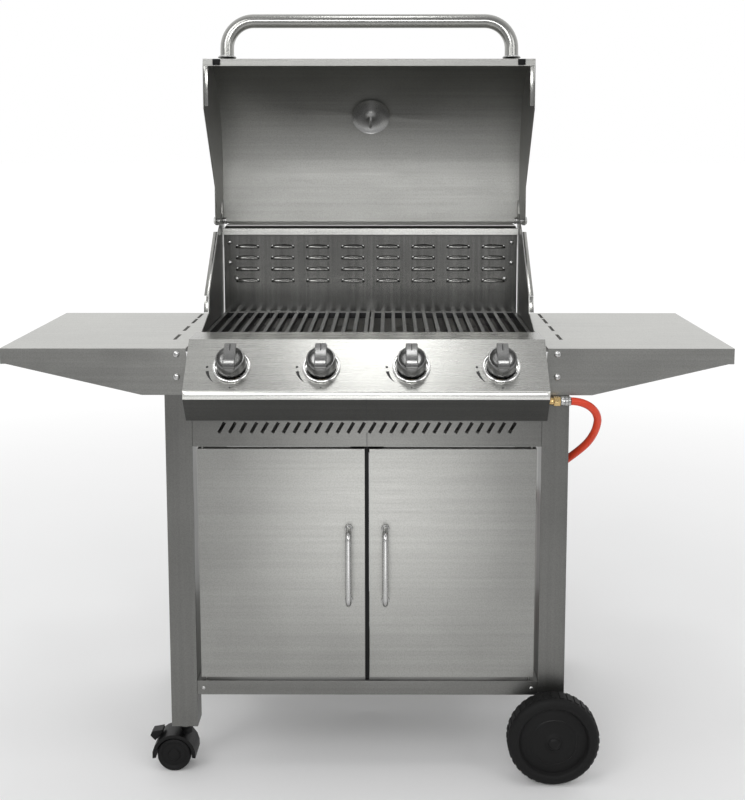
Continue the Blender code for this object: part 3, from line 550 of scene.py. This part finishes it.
def knobs():
    for i in range(1, 5):
        centre = Vector(joint(f"valve_turn_{i}")["pos_m"])
        bezel = [
            (0.0072, 0.0014), (0.0255, 0.0014), (0.0272, 0.0016), (0.0283, 0.0028), (0.0292, 0.0036),
            (0.0305, 0.0039), (0.0320, 0.0037), (0.0331, 0.0028), (0.0335, 0.0012), (0.0335, 0.0002),
            (0.0072, 0.0002), (0.0072, 0.0014),
        ]
        piece = lathed(f"bezel_ring_{i}", bezel, centre + OUT * 0.0003, OUT, BEZEL_STEEL, "cart", 72)
        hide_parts(f"knob_bezel_{i}")
        body = [
            (0, 0.0262), (0.0150, 0.0262), (0.0190, 0.0268), (0.0212, 0.0284), (0.0228, 0.0296),
            (0.0240, 0.0295), (0.0250, 0.0284), (0.0256, 0.0262), (0.0261, 0.0120), (0.0262, 0.0080),
            (0.0258, 0.0068), (0.0245, 0.0065), (0.0045, 0.0065), (0.0045, 0.0215), (0, 0.0215),
        ]
        knob = f"control_knob_{i}"
        skirt = lathed(f"knob_body_{i}", body, centre, OUT, KNOB_STEEL, knob, 72)
        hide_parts(knob)
        bm = bmesh.new()
        side = [
            (-0.0240, 0.0260), (-0.0236, 0.0330), (-0.0228, 0.0342), (-0.0128, 0.0408), (-0.0110, 0.0413),
            (0.0215, 0.0403), (0.0232, 0.0396), (0.0240, 0.0380), (0.0240, 0.0260),
        ]
        half_round = [(-0.0104, 0.0016), (-0.0100, 0.0006), (-0.0088, 0.0)]
        rings = []
        for x, lower in (*half_round, *((-x, lower) for x, lower in reversed(half_round))):
            ends = 1 - lower / 0.024
            points = [Vector((x, y * ends, h - (lower if h > 0.03 else 0.0))) for y, h in side]
            rings.append([bm.verts.new(centre + KNOB_STYLE @ p) for p in points])
        for left, right in zip(rings, rings[1:]):
            for a in range(len(side)):
                b = (a + 1) % len(side)
                bm.faces.new((left[a], right[a], right[b], left[b]))
        bm.faces.new(rings[0])
        bm.faces.new(list(reversed(rings[-1])))
        bmesh.ops.recalc_face_normals(bm, faces=bm.faces)
        show(f"knob_grip_{i}", mesh_of("grip", bm), GRIP_STEEL, knob, 25)
        bm = bmesh.new()
        beveled_box(bm, (-0.0009, 0.0080, -0.0008), (0.0009, 0.0200, 0.0), 0.0002)
        on_grip = Matrix.Translation(centre + OUT * 0.0414) @ KNOB_STYLE.to_4x4()
        bmesh.ops.transform(bm, matrix=on_grip, verts=bm.verts)
        show(f"knob_pointer_{i}", mesh_of("pointer", bm), DARK_INK, knob)
        burner_marks(i, centre)


def burner_marks(i, centre):
    """Generic flame marks beside a knob: a dot for high and a tapering arc down to low."""
    bm = bmesh.new()
    lift, around = 0.0003, 0.043

    def place(angle, radius):
        return centre + KNOB_STYLE @ Vector((radius * cos(angle), radius * sin(angle), lift))

    def dot(angle, radius, sides):
        steps = [2 * pi * k / sides for k in range(sides)]
        edge = [KNOB_STYLE @ Vector((radius * cos(a), radius * sin(a), 0)) for a in steps]
        bm.faces.new([bm.verts.new(place(angle, around) + p) for p in edge])

    dot(radians(180), 0.0022, 16)
    count = 14
    inner, outer = [], []
    for k in range(count + 1):
        angle = radians(192 + 34 * k / count)
        half = 0.0025 * (1 - k / count) + 0.0003
        inner.append(bm.verts.new(place(angle, around - half)))
        outer.append(bm.verts.new(place(angle, around + half)))
    for k in range(count):
        bm.faces.new((inner[k], outer[k], outer[k + 1], inner[k + 1]))
    dot(radians(270), 0.0014, 12)
    bmesh.ops.recalc_face_normals(bm, faces=bm.faces)
    piece = show(f"burner_mark_{i}", mesh_of("mark", bm), DARK_INK, "cart")
    shell = piece.modifiers.new("Ink", "SOLIDIFY")
    shell.thickness, shell.offset = 0.0002, 0.0


# Lid fittings


def lid_fittings():
    half, bend, face = 0.2815, 0.053, -0.3180
    y, z = -0.390, -0.140
    corner = arc((-half + bend, y + bend), bend, pi, 1.5 * pi, 14)
    path = [(-half, face), *corner, *[(-a, b) for a, b in reversed(corner)], (half, face)]
    handle = pipe("lid_handle_tube", [on_lid(a, b, z) for a, b in path], 0.0135, TUBE_STEEL, "lid", 10)
    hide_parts("lid_handle")
    rose = [(0.0137, 0.0030), (0.0165, 0.0028), (0.0180, 0.0010), (0.0180, 0.0), (0.0137, 0.0)]
    out = on_lid(0, -1, 0) - on_lid(0, 0, 0)
    for side, sign in (("left", -1), ("right", 1)):
        lathed(f"{side}_handle_rose", rose, on_lid(sign * half, -0.3178, z), out, BOLT_STEEL, "lid", 40)
    for side, sign in (("left", -1), ("right", 1)):
        bm = bmesh.new()
        middle, reach = on_lid(sign * 0.298, -0.3035, -0.1765), Vector((0.0072, 0.0034, 0.0058))
        beveled_box(bm, middle - reach, middle + reach, 0.0012)
        show(f"{side}_lid_bumper", mesh_of("bumper", bm), BLACK_RUBBER, "lid")
    thermometer()


def thermometer():
    angle, crown_y, crown_z = radians(54), 0.220, 0.200
    spot = on_lid(0, -0.100 - crown_y * cos(angle), -0.105 + crown_z * sin(angle))
    lean = Vector((0, -cos(angle) / crown_y, sin(angle) / crown_z)).normalized()
    out = on_lid(*lean) - on_lid(0, 0, 0)
    case = [
        (0.0265, 0.0095), (0.0280, 0.0118), (0.0300, 0.0120), (0.0325, 0.0105), (0.0340, 0.0080),
        (0.0340, 0.0022), (0.0330, 0.0010), (0.0052, 0.0010), (0.0050, -0.0040), (0.0120, -0.0045),
    ]
    dish = [
        (0.0220, -0.0052), (0.0310, -0.0068), (0.0370, -0.0088), (0.0400, -0.0108), (0.0398, -0.0114),
        (0.0370, -0.0098), (0.0300, -0.0080), (0.0200, -0.0066), (0.0118, -0.0068), (0.0112, -0.0118),
        (0.0060, -0.0126), (0.0032, -0.0130), (0.0030, -0.0575), (0.0018, -0.0598), (0, -0.0600),
    ]
    piece = lathed("thermometer_case", [(0, 0.0095), *case, *dish], spot, out, CUP_STEEL, "lid", 64)
    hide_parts("lid_thermometer")
    face = [(0, 0.0103), (0.0262, 0.0103), (0.0262, 0.0097), (0, 0.0097)]
    lathed("thermometer_face", face, spot, out, WHITE_ENAMEL, "lid", 64)
    turn = Vector((0, 0, 1)).rotation_difference(out).to_matrix()
    bm = bmesh.new()

    def bar(angle, size, along, height):
        made = bmesh.ops.create_cube(bm, size=1)["verts"]
        bmesh.ops.scale(bm, vec=size, verts=made)
        bmesh.ops.translate(bm, vec=(along, 0, height), verts=made)
        bmesh.ops.rotate(bm, matrix=turn @ Matrix.Rotation(angle, 3, "Z"), verts=made)
        bmesh.ops.translate(bm, vec=spot, verts=made)

    outer, ticks = 0.0235, 12
    for k in range(ticks + 1):
        inner = 0.0195 if k % 3 else 0.0170
        bar(radians(225 - 270 * k / ticks), (outer - inner, 0.0008, 0.0003), (outer + inner) / 2, 0.01045)
    bar(radians(225), (0.019, 0.0012, 0.0004), 0.006, 0.0109)
    show("thermometer_scale", mesh_of("scale", bm), DARK_INK, "lid")


# Doors


def door_edge_strip():
    """A rubber strip along the left door's free edge, which closes the gap between the doors."""
    left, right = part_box("left_door"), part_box("right_door")
    bm = bmesh.new()
    low = Vector((left[1].x + 0.0001, left[0].y + 0.0035, left[0].z + 0.002))
    high = Vector((right[0].x - 0.0008, left[0].y + 0.0125, left[1].z - 0.002))
    beveled_box(bm, low, high, 0.0006)
    show("door_edge_strip", mesh_of("strip", bm), BLACK_RUBBER, "left_door")


def door_handles():
    for side in ("left", "right"):
        low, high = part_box(f"{side}_door_handle")
        x = (low.x + high.x) / 2
        radius, bend = 0.005, 0.014
        face, outer = high.y, low.y + radius
        bottom, top = low.z + radius, high.z - radius
        lower = arc((outer + bend, bottom + bend), bend, -pi / 2, -pi, 8)
        upper = arc((outer + bend, top - bend), bend, pi, pi / 2, 8)
        path = [Vector((x, y, z)) for y, z in [(face, bottom), *lower, *upper, (face, top)]]
        grip = pipe(f"{side}_door_grip", path, radius, BOLT_STEEL, f"{side}_door", 8)
        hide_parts(f"{side}_door_handle")
        foot = [(0.0052, 0.0030), (0.0068, 0.0026), (0.0076, 0.0010), (0.0076, 0.0), (0.0052, 0.0)]
        for end, z in (("lower", bottom), ("upper", top)):
            name, seat = f"{side}_grip_foot_{end}", (x, face + 0.0001, z)
            lathed(name, foot, seat, FORWARD, BOLT_STEEL, f"{side}_door", 32)


# Wheels and castors


def wheels():
    for row in ("front", "rear"):
        low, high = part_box(f"{row}_wheel")
        centre = (low + high) / 2
        half = (high.y - low.y) / 2
        radius = (high.z - low.z) / 2
        outer = -1 if row == "front" else 1
        axis = Vector((0, outer, 0))
        rim = [
            (0.0056, half - 0.0005), (0.0125, half - 0.0002), (0.0140, half - 0.0012),
            (0.0155, 0.0205), (0.0190, 0.0196),
            (0.0300, 0.0188), (0.0420, 0.0174), (0.0520, 0.0156), (0.0580, 0.0140), (0.0600, 0.0136),
            (0.0612, 0.0150), (0.0626, 0.0186), (0.0645, 0.0205), (0.0700, 0.0212), (0.0760, 0.0202),
            (0.0798, 0.0172), (0.0818, 0.0128), (radius - 0.0012, 0.0060),
        ]
        profile = rim + [(r, -h) for r, h in reversed(rim)] + [rim[0]]
        bm = bmesh.new()
        lathe(bm, profile, centre, axis, 96)
        bmesh.ops.remove_doubles(bm, verts=bm.verts, dist=1e-6)
        bmesh.ops.recalc_face_normals(bm, faces=bm.faces)
        tyre = show(f"{row}_tyre", mesh_of("tyre", bm), BLACK_RUBBER, f"{row}_wheel", 40)
        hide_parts(f"{row}_wheel")
        bm = bmesh.new()
        blocks = 36
        for k in range(blocks):
            a = 2 * pi * k / blocks
            made = bmesh.ops.create_cube(bm, size=1)["verts"]
            bmesh.ops.scale(bm, vec=(0.0022, 0.0250, 0.0085), verts=made)
            bmesh.ops.translate(bm, vec=(radius - 0.0011, 0, 0), verts=made)
            bmesh.ops.rotate(bm, matrix=Matrix.Rotation(a, 3, "Y"), verts=made)
            bmesh.ops.translate(bm, vec=centre, verts=made)
        soften(show(f"{row}_tread", mesh_of("tread", bm), BLACK_RUBBER, f"{row}_wheel"), 0.0004)
        ring = [
            (0.0395, 0.0180), (0.0405, 0.0184), (0.0420, 0.0180), (0.0430, 0.0172), (0.0395, 0.0172),
            (0.0395, 0.0180),
        ]
        for letter, side in (("a", -1), ("b", 1)):
            name = f"{row}_disc_bead_{letter}"
            lathed(name, ring, centre, Vector((0, side, 0)), BLACK_PLASTIC, f"{row}_wheel", 72)
        cap = [
            (0, 0.0060), (0.0050, 0.0057), (0.0088, 0.0044), (0.0112, 0.0022), (0.0118, 0.0),
            (0.0054, 0.0), (0.0054, 0.0045), (0, 0.0047),
        ]
        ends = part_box("wheel_axle")
        tip = ends[0].y if outer < 0 else ends[1].y
        seat = (centre.x, tip - outer * 0.0042, centre.z)
        lathed(f"{row}_axle_cap", cap, seat, axis, BLACK_PLASTIC, "cart", 40)


def castors():
    for row in ("front", "rear"):
        wheel_low, wheel_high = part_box(f"{row}_castor_wheel")
        centre = (wheel_low + wheel_high) / 2
        for side in (-1, 1):
            axis = Vector((0, side, 0))
            disc = [
                (0, 0.0236), (0.0040, 0.0242), (0.0095, 0.0238), (0.0115, 0.0216),
                (0.0215, 0.0212), (0.0250, 0.0236),
                (0.0280, 0.0243), (0.0302, 0.0230), (0.0309, 0.0200), (0.0309, 0.0080), (0.0300, 0.0056),
                (0.0280, 0.0050), (0.0080, 0.0050), (0.0080, 0.0), (0, 0.0),
            ]
            name = f"{row}_castor_{'inner' if side > 0 else 'outer'}_wheel"
            piece = lathed(name, disc, centre, axis, BLACK_RUBBER, f"{row}_castor_wheel", 56)
            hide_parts(f"{row}_castor_wheel")
        fork = dress(f"{row}_castor_fork", BLACK_PLASTIC, 0.0012)
        lever = dress(f"{row}_castor_brake", BLACK_PLASTIC, 0.0012)
        fork.modifiers["Soft edges"].segments = lever.modifiers["Soft edges"].segments = 3
        collar = [(0.0060, 0.0008), (0.0150, 0.0008), (0.0165, 0.0), (0.0165, -0.0022), (0.0060, -0.0022)]
        seat = Vector(joint(f"{row}_castor_swivel")["pos_m"]) - Vector((0, 0, 0.0011))
        lathed(f"{row}_castor_collar", collar, seat, (0, 0, 1), DULL_STEEL, "cart", 40)


# Gas hose

HOSE_R = 0.007
COIL_X, COIL_Y, COIL_R = 0.120, 0.230, 0.075
HOSE_ROUTE = [
    (0.3608, -0.0115, 0.7000),
    (0.3767, -0.0101, 0.6978),
    (0.3915, -0.0061, 0.6914),
    (0.4032, 0.0001, 0.6815),
    (0.4107, 0.0079, 0.6689),
    (0.4133, 0.0166, 0.6551),
    (0.4108, 0.0293, 0.6348),
    (0.4025, 0.0423, 0.6138),
    (0.3889, 0.0541, 0.595),
    (0.361, 0.0745, 0.565),
    (0.336, 0.0895, 0.540),
    (0.314, 0.0985, 0.513),
    (0.297, 0.105, 0.480),
    (0.290, 0.112, 0.440),
    (0.287, 0.121, 0.390),
    (0.285, 0.131, 0.335),
    (0.281, 0.141, 0.284),
    (0.269, 0.149, 0.240),
    (0.245, 0.1535, 0.206),
    (0.212, 0.155, 0.1865),
    (0.170, 0.155, 0.1822),
]


def smooth(points, parts=2):
    """A Catmull-Rom curve through the points, which sets off along X."""
    lead = Vector((2 * points[0].x - points[1].x, points[1].y, points[1].z))
    ends = [lead, *points, points[-1] * 2 - points[-2]]
    made = []
    for a, b, c, d in zip(ends, ends[1:], ends[2:], ends[3:]):
        for t in (i / parts for i in range(parts)):
            second, third = 2 * a - 5 * b + 4 * c - d, 3 * b - a - 3 * c + d
            made.append(0.5 * (2 * b + (c - a) * t + second * t**2 + third * t**3))
    return made + [points[-1]]


def gas_hose():
    lowest = FLOOR_TOP + GAP + HOSE_R
    free = smooth([at(*p) for p in HOSE_ROUTE], 4)
    turns, per_turn = 2, 40
    coil = []
    for k in range(1, turns * per_turn + 1):
        a = -pi / 2 - 2 * pi * k / per_turn
        z = lowest + 2 * HOSE_R * k / (turns * per_turn)
        coil.append(at(COIL_X + COIL_R * cos(a), COIL_Y + COIL_R * sin(a), z + 0.0002))
    start = [at(x, COIL_Y - COIL_R, lowest + 0.0001) for x in (0.150, 0.130, COIL_X)]
    rise = coil[-1].z
    end = [Vector((COIL_X - step, coil[-1].y, rise)) for step in (0.016, 0.033, 0.0495)]
    path = free + start + coil + end
    hose = pipe("gas_hose_run", path, HOSE_R, HOSE_RUBBER, "cart", 6)
    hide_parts("gas_hose", "gas_hose_coil")
    regulator = dress("regulator", ZINC, 0.0008)
    inlet_fitting()


def inlet_fitting():
    low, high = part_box("inlet_fitting")
    start, y, z = low.x, (low.y + high.y) / 2, (low.z + high.z) / 2
    along = Vector((1, 0, 0))
    body = [
        (0, 0.0), (0.0065, 0.0), (0.0065, 0.0050), (0.0060, 0.0056), (0.0068, 0.0062), (0.0068, 0.0095),
        (0.0060, 0.0100), (0.0060, 0.0110), (0, 0.0110),
    ]
    brass = lathed("inlet_thread", body[::-1], (start, y, z), along, BRASS, "cart", 40)
    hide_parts("inlet_fitting")
    hexagon = [
        (0, 0.0232), (0.0076, 0.0232), (0.0090, 0.0222), (0.0090, 0.0116), (0.0076, 0.0106), (0, 0.0106),
    ]
    bm = bmesh.new()
    lathe(bm, hexagon, (start, y, z), along, 6, pi / 6)
    bmesh.ops.recalc_face_normals(bm, faces=bm.faces)
    nut = show("inlet_nut", mesh_of("nut", bm), BRASS, "cart", 20)
    soften(nut, 0.0006)
    end = high.x - start
    ferrule = [
        (0, end), (0.0074, end), (0.0082, end - 0.0005), (0.0086, end - 0.0040), (0.0080, end - 0.0048),
        (0.0087, end - 0.0056), (0.0087, end - 0.0100), (0.0080, end - 0.0108), (0.0086, end - 0.0116),
        (0.0086, 0.0250), (0.0078, 0.0236), (0, 0.0236),
    ]
    lathed("hose_ferrule", ferrule, (start, y, z), along, BOLT_STEEL, "cart", 40)


# Stage

FRONT_GREY, BACK_WHITE = (0.40, 0.40, 0.405, 1), (1.0, 1.0, 1.0, 1)


def horizon(tree, vector):
    """Studio surroundings: grey behind the viewer in front, white behind the grill."""
    split = tree.nodes.new("ShaderNodeSeparateXYZ")
    ramp = tree.nodes.new("ShaderNodeValToRGB")
    scale = tree.nodes.new("ShaderNodeMapRange")
    scale.inputs["From Min"].default_value, scale.inputs["From Max"].default_value = -1.0, 1.0
    tree.links.new(vector, split.inputs["Vector"])
    tree.links.new(split.outputs["Y"], scale.inputs["Value"])
    tree.links.new(scale.outputs["Result"], ramp.inputs["Fac"])
    grey_ends, white_starts = ramp.color_ramp.elements
    grey_ends.position, grey_ends.color = 0.12, FRONT_GREY
    white_starts.position, white_starts.color = 0.68, BACK_WHITE
    return ramp.outputs["Color"]


def stage():
    bm = bmesh.new()
    bmesh.ops.create_grid(bm, x_segments=1, y_segments=1, size=60)
    mesh = mesh_of("floor", bm)
    floor = bpy.data.objects.new("floor", mesh)
    just_under_the_wheels = -0.0005
    floor.location.z = just_under_the_wheels
    bpy.context.scene.collection.objects.link(floor)
    made = Nodes("pale_floor").set(Metallic=0.0, Roughness=0.9, Specular_IOR_Level=0.2)
    place = made.add("ShaderNodeTexCoord")
    reach = made.add("ShaderNodeVectorMath", operation="LENGTH")
    made.link(place.outputs["Object"], reach.inputs[0])
    facing = made.add("ShaderNodeVectorMath", operation="NORMALIZE")
    made.link(place.outputs["Object"], facing.inputs[0])
    near = made.ramp(made.noise(1.5, detail=2.0), (0.86, 0.86, 0.86, 1), (0.89, 0.89, 0.89, 1))
    fade_starts, fade_ends = 0.75, 3.2
    far = made.between(reach.outputs["Value"], 0.07, 1.0, fade_starts, fade_ends)
    black = made.ramp(far, (1, 1, 1, 1), (0, 0, 0, 1), 0.0, 1.0)
    made.link(made.mix(1.0, near, black, "MULTIPLY"), made.shader.inputs["Base Color"])
    made.link(horizon(made.tree, facing.outputs["Vector"]), made.shader.inputs["Emission Color"])
    made.link(far, made.shader.inputs["Emission Strength"])
    mesh.materials.append(made.material)


def lights():
    world = bpy.data.worlds.new("studio")
    bpy.context.scene.world = world
    world.use_nodes = True
    tree = world.node_tree
    place = tree.nodes.new("ShaderNodeTexCoord")
    background = tree.nodes["Background"]
    tree.links.new(horizon(tree, place.outputs["Generated"]), background.inputs["Color"])
    background.inputs["Strength"].default_value = 1.0
    softbox("key_light", (-1.8, -2.8, 3.0), 1.6, 30)
    softbox("fill_light", (2.2, -2.6, 2.2), 1.4, 12)
    softbox("front_light", (0.0, -3.2, 1.75), 0.5, 22, aim=1.1, width=1.8)
    softbox("top_light", (0.0, -0.6, 3.4), 0.5, 5)
    softbox("low_light", (0.0, -1.15, 0.26), 0.45, 0.13, aim=0.50, spread=50)


def softbox(name, where, size, power, aim=0.7, width=None, spread=180):
    light = bpy.data.lights.new(name, "AREA")
    light.shape, light.size, light.size_y = "RECTANGLE", width or size, size
    light.energy, light.spread = power, radians(spread)
    obj = bpy.data.objects.new(name, light)
    obj.location = where
    obj.visible_camera = False
    obj.rotation_euler = (Vector((0, 0, aim)) - Vector(where)).to_track_quat("-Z", "Y").to_euler()
    bpy.context.scene.collection.objects.link(obj)


def camera():
    data = bpy.data.cameras.new("camera")
    data.sensor_width, data.lens = 36.0, 52.04
    data.shift_x, data.shift_y = -0.0168, -0.15
    obj = bpy.data.objects.new("camera", data)
    obj.location = (0.0404, -2.2428, 1.1535)
    obj.rotation_euler = (radians(90 - 6.78), 0, radians(0.183))
    bpy.context.scene.collection.objects.link(obj)
    bpy.context.scene.camera = obj


bpy.context.scene.view_settings.view_transform = "Standard"
camera()
gas_hose()
dress_sheets()
flanges()
fasteners()
louvres()
seams_and_caps()
knobs()
lid_fittings()
door_handles()
door_edge_strip()
wheels()
castors()
stage()
lights()
